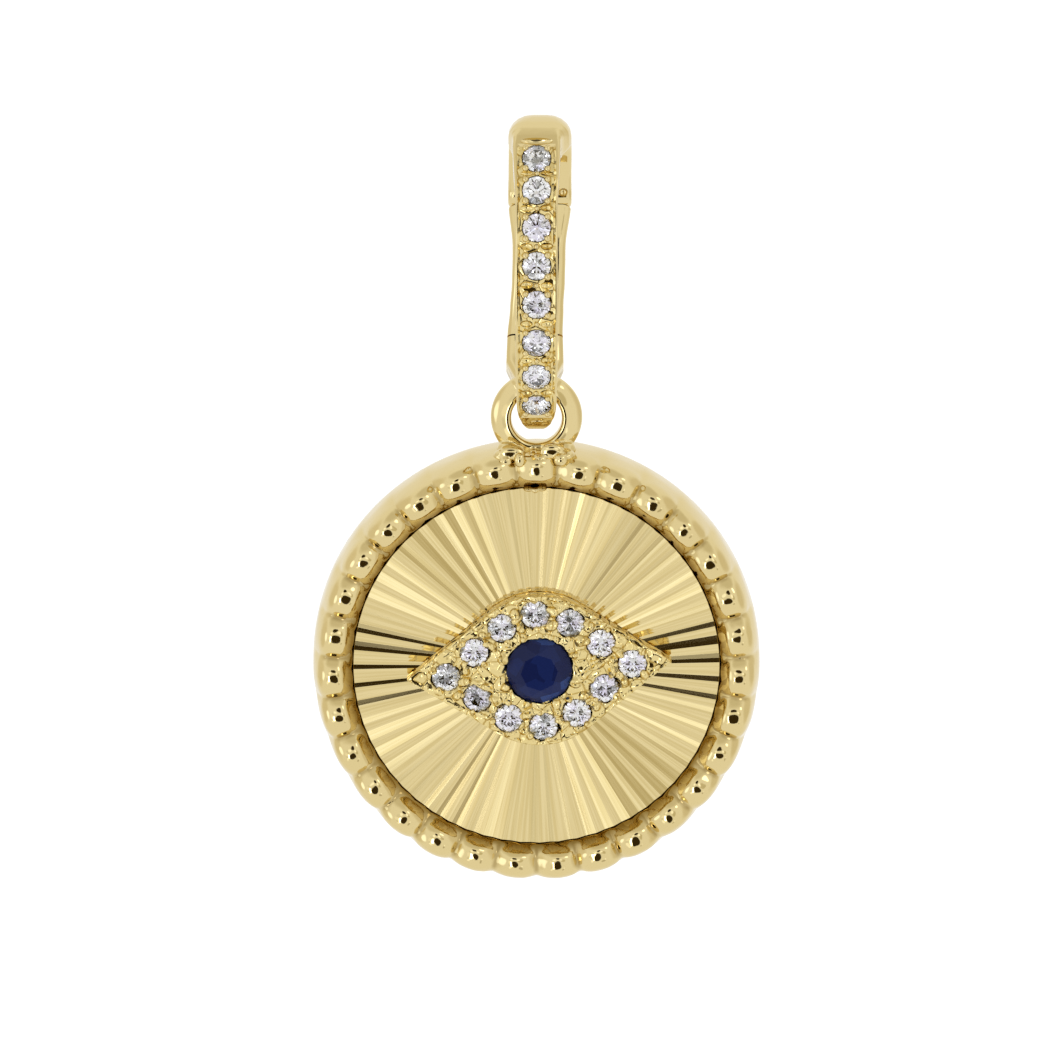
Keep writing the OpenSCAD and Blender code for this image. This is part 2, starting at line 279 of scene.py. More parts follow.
KNUCKLE_CLEAR, KNUCKLE_EDGE, TONGUE_ROOM = 0.595, 0.2, 0.1
BAIL_ROOM, GATE_ROOM = (0.082, 0.101), (0.123, -0.042)    # shifts of the room in y and z, for the open gate
CUT_W = 2                            # width of the cutters beside the gate's tongue


def turn_of(co):
    """Turn round the bail of each point, 0 to 360, before it is drawn out to an oval."""
    return np.degrees(np.arctan2(co[:, 2], co[:, 1])) % 360


def oval_turn(co):
    """The same turn on the finished oval."""
    return np.degrees(np.arctan2(co[:, 2] / BAIL_A, co[:, 1] / BAIL_B)) % 360


def oval_level(co):
    """1 on the bail's outer oval, and less inside it."""
    return (co[:, 1] / BAIL_B) ** 2 + (co[:, 2] / BAIL_A) ** 2


def lies_at(turn, *ends):
    """True for edges with both ends at a turn round the bail."""
    return np.all([np.abs(turn_of(co) - turn % 360) < 0.05 for co in ends], axis=0)


def section(turn, round_out, round_in):
    """Cross-section of the bail as a closed line with rounded corners, stood at a turn round the bail."""
    bpy.ops.mesh.primitive_plane_add(size=1)
    line = new_piece("section")
    bpy.ops.object.mode_set(mode="EDIT")
    stretch(SECTION_W, BAIL_T, 1)
    move(0, BAIL_B - BAIL_T / 2, 0)
    for size, side in ((round_out, BAIL_B), (round_in, BAIL_B - BAIL_T)):
        pick(line, lambda co: np.abs(co[:, 1] - side) < 0.001)
        bpy.ops.mesh.bevel(affect="VERTICES", offset_type="OFFSET", offset=size, segments=ROUND_SEGMENTS)
    pick_all(line)
    stretch(1 / SECTION_W, 1, 1)
    bpy.ops.mesh.delete(type="ONLY_FACE")
    done()
    line.rotation_euler = (math.radians(turn), 0, 0)
    bpy.ops.object.transform_apply(rotation=True)
    return line


def sweep(start, end, round_out, round_in):
    """A stretch of the bail's ring between two turns, round as yet."""
    piece = section(start, round_out, round_in)
    pick_all(piece)
    steps = max(2, round((end - start) / SWEEP_STEP))
    bpy.ops.mesh.spin(steps=steps, angle=math.radians(start - end), center=(0, 0, 0), axis=(1, 0, 0))
    done()
    return piece


def oval_band(name, stretches):
    """Stretches of the ring, bridged, closed at the ends, drawn out to an oval and given their width."""
    band = join(name, [sweep(*row) for row in stretches])
    for (_, before, *_), (after, *_) in zip(stretches, stretches[1:]):
        pick(band, lambda a, b: lies_at(before, a, b) | lies_at(after, a, b), "EDGE")
        bpy.ops.mesh.bridge_edge_loops()
        done()
    pick_all(band)
    bpy.ops.mesh.fill_holes(sides=0)
    done()
    turns = turn_of(spots(band))
    for a in levels(turns, 0.3):
        pick(band, lambda co: np.abs(turns - a) < 0.15)
        stretch(eased(WIDTH_ROWS, a), 1, 1)
        move(eased(LEAN_ROWS, a), 0, (BAIL_A - BAIL_B) * math.sin(math.radians(a)))
    done()
    tidy(band)
    return band


def channel_face(mid, n):
    """True for the flat outer faces of the stone-set stretch."""
    turn = oval_turn(mid)
    flat = (np.abs(n[:, 0]) < 0.1) & (np.abs(mid[:, 0]) < 0.3)
    return (oval_level(mid) > 0.9) & (turn > FRONT_TOP) & (turn < FRONT_LOW) & flat


def in_channel(mid, n):
    """True for the faces between the rails, down into the seats."""
    here = mid - np.array([0, 0, BAIL_Z])
    turn, level = oval_turn(here), oval_level(here)
    between = (np.abs(mid[:, 0]) < 0.66) & (level > 0.7) & (level < 0.985)
    return (turn > FRONT_TOP) & (turn < LAST_GRAIN) & between


def on_front(angle):
    """Place on the outside of the bail's front, facing outwards."""
    a = math.radians(angle)
    lean = math.atan2(math.sin(a) / BAIL_A, math.cos(a) / BAIL_B)
    where = placed(0, -BAIL_B * math.cos(a), BAIL_Z + BAIL_A * math.sin(a))
    return where @ Matrix.Rotation(math.radians(90) - lean, 4, "X")


def seat_tool(r, depth):
    """Cutter for a stone's seat: a cone under the girdle and a straight wall above it."""
    bpy.ops.mesh.primitive_cone_add(vertices=40, radius1=CONE_TIP * r, radius2=r, depth=depth,
                                    location=(0, 0, -depth / 2 - CONE_DROP))
    tool = new_piece("seat_tool")
    bpy.ops.object.transform_apply(location=True)
    pick(tool, lambda mid, n: n[:, 2] > 0.9, "FACE")
    bpy.ops.mesh.extrude_region_move(TRANSFORM_OT_translate={"value": (0, 0, SEAT_WALL)})
    done()
    return tool


def ball(r, rings=12):
    bpy.ops.mesh.primitive_uv_sphere_add(segments=2 * rings, ring_count=rings, radius=r)
    return new_piece("ball")


def cylinder_across(width, r, x, shift=(0, 0)):
    """A cylinder across the bail, on the hinge axis or shifted from it in y and z."""
    place = (x, HINGE_Y + shift[0], HINGE_Z + shift[1])
    bpy.ops.mesh.primitive_cylinder_add(vertices=64, radius=r, depth=width, location=place,
                                        rotation=(0, math.pi / 2, 0))
    bpy.ops.object.transform_apply(location=True, rotation=True)
    return new_piece("across")


def knuckles(piece, spans, back):
    """Adds the hinge's cylinder to a piece, and cuts the other half's room and the pin's bore out of it."""
    barrel = cylinder_across(KNUCKLE_W, KNUCKLE_R, HINGE_X)
    pick(barrel, lambda a, b: np.abs(a[:, 0] - b[:, 0]) < 0.001, "EDGE")
    bpy.ops.mesh.bevel(offset=KNUCKLE_EDGE, segments=ROUND_SEGMENTS)
    done()
    cut(piece, barrel, "UNION")
    for width, x in spans:
        for shift in ((0, 0), back):
            cut(piece, cylinder_across(width, KNUCKLE_CLEAR, x, shift))
    cut(piece, cylinder_across(3, BORE_R, HINGE_X))


band = oval_band("bail_ring", BAND_STRETCHES)
pick(band, channel_face, "FACE")
bpy.ops.mesh.inset(thickness=RAIL_EDGE, depth=0, use_even_offset=True)
bpy.ops.mesh.inset(thickness=CHANNEL_SIDE, depth=-CHANNEL_DEPTH, use_even_offset=True)
done()
move_all(band, 0, 0, BAIL_Z)
tidy(band)

seats = [on_front(a) @ placed(0, 0, -SINK) for a in BAIL_STONES]
cut(band, copies("seats", seat_tool(STONE_R + SEAT_ROOM, SEAT_DEPTH), seats))
gaps = [(a + b) / 2 for a, b in zip(BAIL_STONES, BAIL_STONES[1:])]
scoops = []
for k, a in enumerate(gaps):
    for side in (-1, 1):
        where = on_front(a) @ placed(side * 0.36, 0.02 * wander(k, side), 0)
        near_middle = abs(where.translation.z - BAIL_Z) < 4
        scoops.append(where @ sized(1, 0.6 if near_middle else 0.42, 0.7))
TOP_SCOOP = on_front(63.2) @ placed(0, 0, 0.08) @ sized(2.1, 0.55, 0.8)    # over the top stone
FOOT_SLOT = on_front(-65) @ placed(0.02, 0, 0) @ sized(0.95, 0.3, 0.4)     # under the lowest stone
NOOK = placed(0.95, 1.6, -2.02)                                            # worn pit in the right knuckle
cut(band, copies("scoops", ball(0.24), scoops))
cut(band, copies("top_scoop", ball(0.3), [TOP_SCOOP]))
cut(band, copies("foot_slot", ball(0.24), [FOOT_SLOT]))
knuckles(band, ((TONGUE_W + TONGUE_ROOM, HINGE_X),), BAIL_ROOM)
cut(band, copies("nook", ball(0.17), [NOOK]))

PRONG_R, PRONG_X, PRONG_Y, PRONG_SINK = 0.12, 0.39, 0.395, 0.05
BRIDGE_R, BRIDGE_SINK = 0.1, 0.07
prongs = []
for k, a in enumerate(BAIL_STONES):
    for sx, sy in ((-1, -1), (-1, 1), (1, -1), (1, 1)):
        corner = placed(PRONG_X * sx, (PRONG_Y + 0.02 * wander(k, sx + sy)) * sy, -PRONG_SINK)
        prongs.append(on_front(a) @ corner @ Matrix.Scale(1 + 0.12 * wander(k, sx - 2 * sy), 4))
bridges = [on_front(a) @ placed(0.03 * wander(k, 5), 0, -BRIDGE_SINK) for k, a in enumerate(gaps)]
prongs = copies("prongs", ball(PRONG_R, rings=8), prongs)
bridges = copies("bridges", ball(BRIDGE_R, rings=8), bridges)
band = join("bail_ring", [band, prongs, bridges])

gate = oval_band("gate_band", GATE_STRETCHES)
move_all(gate, 0, 0, BAIL_Z)
tidy(gate)
beside_tongue = TONGUE_W / 2 + CUT_W / 2
knuckles(gate, ((CUT_W, HINGE_X - beside_tongue), (CUT_W, HINGE_X + beside_tongue)), GATE_ROOM)
cylinder_across(KNUCKLE_W, PIN_R, HINGE_X)
pin = new_piece("hinge_pin_polished")
for piece in (band, gate, pin):
    smooth(piece, 35)


# The case with its border of beads, and the loop on its top
CASE_ROWS = (                        # from seat to lip: radius and height, and then both between two beads
    (6.557, 0.02), (6.557, 0.53), (6.60, 0.57), (6.66, 0.64), (6.73, 0.77, 6.80, 0.68),
    (6.80, 0.91, 6.92, 0.76), (6.88, 1.05, 7.03, 0.80), (6.98, 1.14, 7.12, 0.825),
    (7.12, 1.172, 7.21, 0.84), (7.27, 1.18, 7.29, 0.84), (7.42, 1.176, 7.39, 0.83),
    (7.56, 1.155, 7.49, 0.80), (7.70, 1.08, 7.60, 0.72), (7.81, 0.93, 7.71, 0.60),
    (7.89, 0.70, 7.77, 0.44), (7.95, 0.38, 7.83, 0.24), (8.0, 0.04, 7.93, 0.0),
    (8, -0.4), (8, -1.05), (7.9, -1.27), (7.6, -1.29), (6.75, -1.29), (6.6, -1.27), (6.58, -1.1),
    (6.58, -0.5), (6.5, -0.4), (6.05, -0.4), (5.98, -0.35), (5.98, -0.05), (6.03, 0), (6.5, 0))
BEAD_SHARES = (0, 0.02, 0.08, 0.19, 0.36, 0.6, 1)    # how far each column is sunk, from bead to gap
PER_BEAD = 2 * (len(BEAD_SHARES) - 1)
COLUMNS = PER_BEAD * BEADS
BEAD_FOOT, CROWN_FOOT = 0.58, 0.7    # heights over which a bead is moved as one, and its crown is hammered
LOOP_FRONT = (                       # radius and height of the loop's sloping front
    (0.89, 0), (0.897, 0.19), (0.918, 0.31), (0.953, 0.357), (1.0, 0.372), (1.057, 0.373),
    (1.12, 0.36), (1.19, 0.342), (1.265, 0.32), (1.338, 0.294), (1.408, 0.265), (1.473, 0.23),
    (1.53, 0.19), (1.577, 0.15), (1.611, 0.1), (1.64, 0))
SOLDER = (                           # half sizes and place of each lump melted round the loop's base
    (0.42, 0.42, 0.34, -1.0, -0.15, -11.0), (0.42, 0.42, 0.34, 1.0, -0.15, -11.0),
    (0.5, 0.3, 0.24, -0.88, -0.55, -11.02), (0.45, 0.3, 0.28, 0.6, -0.55, -10.98),
    (0.46, 0.09, 0.24, -0.9, -0.87, -10.99), (0.42, 0.09, 0.27, 0.55, -0.87, -10.92),
    (0.3, 0.3, 0.24, -1.25, -0.62, -11.14), (0.28, 0.34, 0.22, 1.1, -0.66, -11.1),
    (0.22, 0.36, 0.2, -0.12, -0.55, -11.12), (0.3, 0.18, 0.2, 0.12, -0.9, -11.2),
    (0.26, 0.16, 0.24, 0.86, -0.98, -11.2), (0.2, 0.14, 0.26, -0.6, -1.02, -11.2),
    (0.24, 0.14, 0.18, -1.1, -0.92, -11.26), (0.18, 0.16, 0.12, -0.3, -0.64, -12.33),
    (0.12, 0.13, 0.12, -0.05, -0.66, -12.38), (0.18, 0.15, 0.13, 0.2, -0.63, -12.31))


def column_of(co):
    """Steps of each point from the middle of its bead."""
    step = (np.degrees(np.arctan2(co[:, 0], co[:, 2])) / 360 * COLUMNS).round().astype(int) % PER_BEAD
    return np.minimum(step, PER_BEAD - step)


def case_ring():
    """The case: its profile spun round, sunk between the beads, with each bead a little out of line."""
    ring = profile("case_ring", [(row[0], -row[1], 0) for row in CASE_ROWS])
    pick_all(ring)
    bpy.ops.mesh.spin(steps=COLUMNS, angle=2 * math.pi, center=(0, 0, 0), axis=(0, 1, 0))
    done()
    tidy(ring)
    co0, column = spots(ring), column_of(spots(ring))
    for row in CASE_ROWS:
        if len(row) < 4:
            continue
        r, h, low_r, low_h = row
        rows = (np.abs(np.hypot(co0[:, 0], co0[:, 2]) - r) < 0.004) & (np.abs(co0[:, 1] + h) < 0.004)
        for step, share in enumerate(BEAD_SHARES[1:], 1):
            wide = 1 + (low_r / r - 1) * share
            pick(ring, lambda co: rows & (column == step))
            stretch(wide, 1, wide)
            move(0, -(low_h - h) * share, 0)
    done()
    around = np.degrees(np.arctan2(spots(ring)[:, 0], spots(ring)[:, 2]))
    proud = (spots(ring)[:, 1] < -BEAD_FOOT) & (column != PER_BEAD / 2)
    for k in range(BEADS):
        off_bead = np.abs((around - 360 / BEADS * k + 180) % 360 - 180)
        pick(ring, lambda co: proud & (off_bead < 180 / BEADS))
        move(0.03 * wander(k, 1), 0.025 * wander(k, 2), 0.03 * wander(k, 3))
    done()
    modify(ring, "SUBSURF", levels=1, render_levels=1)
    roughen(ring, "hammered", "CLOUDS", 0.45, 0.035, 0.5, spots(ring)[:, 1] < -CROWN_FOOT)
    return ring


case = case_ring()
bpy.ops.mesh.primitive_torus_add(major_radius=LOOP_R, minor_radius=LOOP_WIRE_R, major_segments=96,
                                 minor_segments=32, location=(0, 0, LOOP_Z), rotation=(math.pi / 2, 0, 0))
bpy.ops.object.transform_apply(location=True, rotation=True)
loop = new_piece("loop")
across = np.hypot(spots(loop)[:, 0], spots(loop)[:, 2] - LOOP_Z)
clear_of_bail = spots(loop)[:, 2] - LOOP_Z < np.where(across < 1, 0.62, 0.86) * across
for r in levels(across, 0.0005):
    pick(loop, lambda co: (np.abs(across - r) < 0.0005) & (co[:, 1] < -0.001) & clear_of_bail)
    stretch(1, 0, 1)
    move(0, -eased(LOOP_FRONT, r), 0)
done()
move_all(case, 0, 0, CASE_Z)
lumps = copies("lumps", ball(1, rings=10), [placed(*row[3:]) @ sized(*row[:3]) for row in SOLDER])
loop = join("loop", [loop, lumps])
modify(loop, "REMESH", mode="VOXEL", voxel_size=0.03)
modify(loop, "SMOOTH", factor=0.5, iterations=5)
case = join("case", [case, loop])
smooth(case, 40)


# The disc with its flutes: modelled flat, seen from above, and then stood up
STRIPS, FIRST_RIDGE = 240, 1         # four strips a flute, and where the first ridge runs, in degrees
DISC_BREAK, DISC_WALL = 0.012, 0.3   # broken edge, and the height of the wall under it
FLUTE_DROPS = (0, 0.049, FLUTE_DEPTH, 0.049)    # a flute's sides are steep at the ridge and flatter below


def stand(obj):
    """Stands a flat piece up in the case, its top to the front."""
    take(obj)
    obj.matrix_world = placed(0, 0, CASE_Z) @ Matrix.Rotation(math.pi / 2, 4, "X")
    bpy.ops.object.transform_apply(location=True, rotation=True)


def from_middle(co):
    return np.hypot(co[:, 0], co[:, 1])


bpy.ops.mesh.primitive_circle_add(vertices=STRIPS, radius=DISC_R - DISC_BREAK, fill_type="TRIFAN",
                                  location=(0, 0, RIDGE_H), rotation=(0, 0, math.radians(FIRST_RIDGE)))
bpy.ops.object.transform_apply(location=True, rotation=True)
disc = new_piece("radiant_disc")
at_edge = from_middle(spots(disc)) > 1
degrees_round = np.degrees(np.arctan2(spots(disc)[:, 1], spots(disc)[:, 0]))
place_round = ((degrees_round - FIRST_RIDGE) / (360 / STRIPS)).round().astype(int) % STRIPS
for k in range(STRIPS):
    pick(disc, lambda co: at_edge & (place_round == k))
    move(0, 0, 0.0015 * wander(k) - FLUTE_DROPS[k % 4])
    askew = math.radians(0.22 * wander(k, 2))
    bpy.ops.transform.rotate(value=askew, orient_axis="Z", center_override=(0, 0, 0))
done()
pick(disc, lambda a, b: (from_middle(a) > 6) & (from_middle(b) > 6), "EDGE")
for wide, down in ((DISC_R / (DISC_R - DISC_BREAK), DISC_BREAK), (1, DISC_WALL)):
    bpy.ops.mesh.extrude_edges_move(TRANSFORM_OT_translate={"value": (0, 0, -down)})
    stretch(wide, wide, 1)
stretch(1, 1, 0)
bpy.ops.mesh.edge_face_add()
done()
tidy(disc)
stand(disc)
smooth(disc, 2)


# The eye: an almond plate with its seats, grains and claws
STONE_SHARES = ((0.703, 0), (0.478, 0.302), (0.257, 0.604), (0, 0.753))    # of half length and half height
QUARTERS = ((1, 1, (0, 1, 2, 3)), (-1, 1, (2, 1, 0)), (-1, -1, (1, 2)), (1, -1, (3, 2, 1)))
EYE_STONES = [(sx * STONE_SHARES[k][0] * EYE_TIP, sy * STONE_SHARES[k][1] * EYE_R)
              for sx, sy, row in QUARTERS for k in row]
RIDGES = (((-2.51, -0.12), (-1.4, -0.8)), ((1.3, -0.5), (2.66, 0.4)))    # bars beside the sapphire
RIDGE_R = 0.11
GRAIN_R, GRAIN_OUT = 0.15, 0.29      # grains between two stones, and how far they are off the row
CLAW_R, CLAW_OUT, CLAW_SINK = 0.115, 0.56, 0.02    # claws round each stone, and their way from its middle
PUPIL_CLAWS, PUPIL_CLAW_R, PUPIL_CLAW_OUT = 8, 0.15, SAPPHIRE_R + 0.15
EDGE_W = 0.12                        # thin polished edge of the plate
SLOPE = EYE_R / math.sqrt(EYE_TIP ** 2 - EYE_R ** 2)    # of the straight sides that run out to the tips


def seat_at(x, y, r, depth):
    """The cutter of a seat at its place on the eye."""
    tool = seat_tool(r + SEAT_ROOM, depth)
    move_all(tool, x, y, EYE_FRONT - SINK)
    return tool


def grain(x, y, z, r, long, turn):
    """A raised grain of metal: a ball drawn out along a turn."""
    bpy.ops.mesh.primitive_uv_sphere_add(segments=16, ring_count=10, radius=r, location=(x, y, z),
                                         rotation=(0, 0, turn), scale=(long, 1, 1))
    bpy.ops.object.transform_apply(location=True, rotation=True, scale=True)
    return new_piece("grain")


def rim_of_eye(co):
    """True for points on the plate's thin polished edge."""
    x, y = np.abs(co[:, 0]), np.abs(co[:, 1])
    inside = (EYE_TIP - x) * SLOPE - y
    on_arc = (np.hypot(x, y) > EYE_R - EDGE_W) & (x < EYE_R * math.sin(math.atan(SLOPE)))
    return (inside / math.hypot(1, SLOPE) < EDGE_W) | on_arc


bpy.ops.mesh.primitive_circle_add(vertices=72, radius=EYE_R, fill_type="NGON", location=(0, 0, EYE_BACK))
bpy.ops.object.transform_apply(location=True)
eye = new_piece("eye_plate_cut")
tangent = math.degrees(math.acos(EYE_R / EYE_TIP)) - 2
for side in (1, -1):
    pick(eye, lambda co: np.abs(np.degrees(np.arctan2(co[:, 1], side * co[:, 0]))) < tangent)
    stretch(0, 0, 1, about=(side * EYE_TIP, 0, 0))
done()
tidy(eye, 0.001)
pick_all(eye)
bpy.ops.mesh.extrude_region_move(TRANSFORM_OT_translate={"value": (0, 0, EYE_FRONT - EYE_BACK)})
done()
tidy(eye, 0.001)
for x, y in EYE_STONES:
    cut(eye, seat_at(x, y, STONE_R, SEAT_DEPTH))
cut(eye, seat_at(0, 0, SAPPHIRE_R, SAPPHIRE_SEAT_DEPTH))

grains = []
for k, (p, q) in enumerate(zip(EYE_STONES, EYE_STONES[1:] + EYE_STONES[:1])):
    p, q = Vector((*p, 0)), Vector((*q, 0))
    along = (q - p).normalized()
    outward = Vector((along.y, -along.x, 0))
    for side in (-1, 1):
        g = (p + q) / 2 + side * GRAIN_OUT * outward + 0.03 * wander(k, side) * along
        r = GRAIN_R + 0.02 * wander(k, 3 * side)
        grains.append(grain(g.x, g.y, EYE_FRONT, r, 1.15, math.atan2(outward.y, outward.x)))
for k, (x, y) in enumerate(EYE_STONES):
    for j in range(4):
        a = math.radians(90 * j + 45 + 17 * k + 12 * wander(k, j))
        r = CLAW_R + 0.02 * wander(k, 7 * j)
        claw_x, claw_y = x + CLAW_OUT * math.cos(a), y + CLAW_OUT * math.sin(a)
        grains.append(grain(claw_x, claw_y, EYE_FRONT - CLAW_SINK, r, 1.2, a))
for (x0, y0), (x1, y1) in RIDGES:
    long = math.hypot(x1 - x0, y1 - y0) / 2 / RIDGE_R
    turn = math.atan2(y1 - y0, x1 - x0)
    grains.append(grain((x0 + x1) / 2, (y0 + y1) / 2, EYE_FRONT, RIDGE_R, long, turn))
for k in range(PUPIL_CLAWS):
    a = 2 * math.pi * (k + 0.5) / PUPIL_CLAWS
    claw_x, claw_y = PUPIL_CLAW_OUT * math.cos(a), PUPIL_CLAW_OUT * math.sin(a)
    grains.append(grain(claw_x, claw_y, EYE_FRONT, PUPIL_CLAW_R, 1.2, a))
eye = join("eye_plate_cut", [eye] + grains)
modify(eye, "REMESH", mode="VOXEL", voxel_size=0.045)
worked = (spots(eye)[:, 2] > EYE_FRONT - 0.12) & ~rim_of_eye(spots(eye))
roughen(eye, "cut_facets", "VORONOI", 0.52, 0.17, 0.45, worked)
take(eye)
eye.rotation_euler = (0, 0, EYE_TURN)
eye.location = (EYE_X, 0, 0)
bpy.ops.object.transform_apply(location=True, rotation=True)
stand(eye)
smooth(eye, 35)


# Finishes, light and floor
DEEP_GOLD, PALE_GOLD = (0.74, 0.595, 0.28), (0.78, 0.64, 0.325)
# Browns painted as shade: in the creases between beads, in the hollow round the disc, and in the grooves
# between cut facets
CREASE_SHADE_BROWN, RECESS_SHADE_BROWN, FACET_GROOVE_SHADE = (0.34, 0.23, 0.07), (0.3, 0.19, 0.045), (0.5, 0.34, 0.09)


class Wire:
    """A socket in a sum: an expression on wires adds its Math nodes."""

    def __init__(self, bench, socket):
        self.bench, self.socket = bench, socket

    def __add__(self, other):
        return self.bench.math("ADD", self, other)

    def __sub__(self, other):
        return self.bench.math("SUBTRACT", self, other)

    def __rsub__(self, other):
        return self.bench.math("SUBTRACT", other, self)

    def __mul__(self, other):
        return self.bench.math("MULTIPLY", self, other)

    __radd__, __rmul__ = __add__, __mul__


class Bench:
    """The nodes of a finish or of the light tent."""

    def __init__(self, owner):
        owner.use_nodes = True
        self.tree = owner.node_tree

    def node(self, kind, settings=None, *values, out=0, **named):
        """A node of a type: its settings are set first, then its sockets get their values or links."""
        n = self.tree.nodes.new("ShaderNode" + kind)
        for key, value in (settings or {}).items():
            setattr(n, key, value)
        for key, value in [*enumerate(values), *named.items()]:
            self.feed(n.inputs[key], value)
        return Wire(self, n.outputs[out])

    def feed(self, socket, value):
        """Links a wire to a socket, or sets a value on it, where a colour gets its alpha."""
        if isinstance(value, Wire):
            self.tree.links.new(value.socket, socket)
        elif isinstance(value, tuple) and len(value) < len(socket.default_value):
            socket.default_value = (*value, 1)
        else:
            socket.default_value = value

    def math(self, operation, *values):
        return self.node("Math", {"operation": operation}, *values)

    def place(self):
        return self.node("TexCoord", None, out="Object")

    def parts(self, vector):
        """The three parts of a vector."""
        split = self.node("SeparateXYZ", None, vector)
        return [Wire(self, socket) for socket in split.socket.node.outputs]

    def noise(self, size, detail=2.0):
        """Soft noise of a grain size in metres."""
        return self.node("TexNoise", None, Vector=self.place(), Scale=1 / size, Detail=detail, Roughness=0.5)

    def ramp(self, value, low, high):
        """A share that rises smoothly from 0 at one value to 1 at another."""
        return self.node("MapRange", {"interpolation_type": "SMOOTHSTEP"}, value, low, high, 0.0, 1.0)

    def patches(self, size):
        """One even value between 0 and 1 for each small cell of a size in metres."""
        cells = self.node("TexVoronoi", {"feature": "F1"}, out="Color", Vector=self.place(), Scale=1 / size)
        return self.node("SeparateColor", None, cells)

    def above(self, value, level):
        return self.math("GREATER_THAN", value, level)

    def blend(self, share, one, other):
        """A colour between two, by a share from 0 to 1."""
        n = self.tree.nodes.new("ShaderNodeMix")
        n.data_type = "RGBA"
        for key, value in ((0, share), (6, one), (7, other)):
            self.feed(n.inputs[key], value)
        return Wire(self, n.outputs[2])


class Finish(Bench):
    """A finish on the Principled shader, with the settings that are the same all over."""

    def __init__(self, name, **settings):
        self.material = bpy.data.materials.new(name)
        super().__init__(self.material)
        self.shader = self.tree.nodes["Principled BSDF"]
        self.set(**settings)

    def set(self, **settings):
        for key, value in settings.items():
            self.feed(self.shader.inputs[key.replace("_", " ")], value)

    def relief(self, height, depth):
        """A bump from a height between 0 and 1 and its depth in metres."""
        self.set(Normal=self.node("Bump", None, Strength=1.0, Distance=depth, Height=height))

    def round_case(self):
        """How far a point is across, up and off the case's axis, and whether it is in front."""
        x, y, z = self.parts(self.place())
        up = z - CASE_Z * MM
        from_axis = self.math("SQRT", x * x + up * up)
        return x, up, from_axis, self.ramp(y, -0.1 * MM, -0.3 * MM)

    def buffed(self):
        """Sets the faint waviness and rub marks of bright polish, and returns its clouded tone."""
        self.set(Roughness=self.noise(0.0006, 3) * 0.06 + 0.035)
        self.relief(self.noise(0.0009), 0.00002)
        return self.blend(self.noise(0.0021), DEEP_GOLD, PALE_GOLD)


def polished_gold():
    f = Finish("polished_gold", Metallic=1.0)
    f.set(Base_Color=f.buffed())
    return f.material


def beaded_gold_painted_shade():
    """Polish with painted shade: brown in the creases between the beads and in the hollow round the disc, on
    the front.
    """
    f = Finish("beaded_gold_painted_shade", Metallic=1.0)
    x, up, from_axis, in_front = f.round_case()
    uneven = f.noise(0.0005)
    beads_round = f.math("ARCTAN2", x, up) * (BEADS / 2 / math.pi) + 0.5
    off_bead = f.math("ABSOLUTE", f.math("FRACT", beads_round) - 0.5)
    # painted shade: brown in the creases between the beads, towards the front
    painted_crease_shade = f.ramp(off_bead + uneven * 0.06, 0.43, 0.52) * f.ramp(from_axis, 7.75 * MM, 7.45 * MM)
    inner_side = f.ramp(from_axis + uneven * 0.0001, 7.02 * MM, 6.66 * MM)
    # painted shade: brown on the inner wall of the hollow round the disc
    painted_recess_shade = inner_side * f.ramp(from_axis, 6.5 * MM, 6.57 * MM)
    crease_shaded = f.blend(painted_crease_shade * in_front * 0.6, f.buffed(), CREASE_SHADE_BROWN)
    f.set(Base_Color=f.blend(painted_recess_shade * in_front, crease_shaded, RECESS_SHADE_BROWN))
    return f.material


def bright_cut_gold():
    """The flutes as the cutter left them: mirror bright, with the fine streaks that run in to the middle."""
    f = Finish("bright_cut_gold", Metallic=1.0)
    x, up, from_axis, in_front = f.round_case()
    along = f.node("CombineXYZ", None, f.math("ARCTAN2", up, x) * 60, from_axis * 150, 0.0)
    streak = f.node("TexNoise", None, Vector=along, Scale=1.0, Detail=2.0, Roughness=0.6)
    streaky = f.blend(f.ramp(streak, 0.35, 0.65), (0.69, 0.55, 0.25), (0.80, 0.66, 0.34))
    f.set(Base_Color=f.blend(in_front, (0.76, 0.62, 0.30), streaky))
    f.set(Roughness=streak * in_front * 0.08 + 0.03)
    return f.material


def hand_cut_gold():
    """Metal raised and cut by hand between the stones: small uneven facets that glint, with painted shade in
    brown along the grooves between them.
    """
    f = Finish("hand_cut_gold", Metallic=1.0)
    edges = f.node("TexVoronoi", {"feature": "DISTANCE_TO_EDGE"}, Vector=f.place(), Scale=1 / 0.00055)
    metal = f.blend(f.noise(0.0006), (0.78, 0.62, 0.26), (0.84, 0.69, 0.33))
    # painted shade: brown along the edges of the facets, in the grooves
    f.set(Base_Color=f.blend(f.ramp(edges, 0.0, 0.07), FACET_GROOVE_SHADE, metal))
    f.set(Roughness=f.noise(0.0004, 3) * 0.08 + 0.07)
    f.relief(f.ramp(edges, 0.0, 0.3), 0.00004)
    return f.material


def diamond():
    """Clear and lively, with painted reflections: the dark and lilac patches that a brilliant shows are
    painted into its colour.
    """
    f = Finish("diamond", IOR=2.42, Transmission_Weight=1.0, Roughness=0.0)
    # painted reflection: dark and lilac patches in the stone's colour
    reflection_patch = f.patches(0.0003)
    clear = f.blend(f.above(reflection_patch, 0.55), (1.0, 1.0, 1.0), (0.86, 0.81, 0.95))
    f.set(Base_Color=f.blend(f.above(reflection_patch, 0.88), clear, (0.12, 0.12, 0.11)))
    return f.material


def blue_sapphire():
    """Deep blue, with patches in three tones: two deep blues at random, and a lighter blue that is a painted
    reflection of lit facets.
    """
    f = Finish("sapphire", IOR=1.77, Transmission_Weight=0.1, Specular_IOR_Level=0.05, Roughness=0.02)
    reflection_patch = f.patches(0.0006)
    deep = f.blend(f.above(reflection_patch, 0.5), (0.007, 0.012, 0.062), (0.009, 0.017, 0.085))
    # painted reflection: lighter blue patches stand for lit facets
    f.set(Base_Color=f.blend(f.above(reflection_patch, 0.87), deep, (0.02, 0.045, 0.17)))
    return f.material


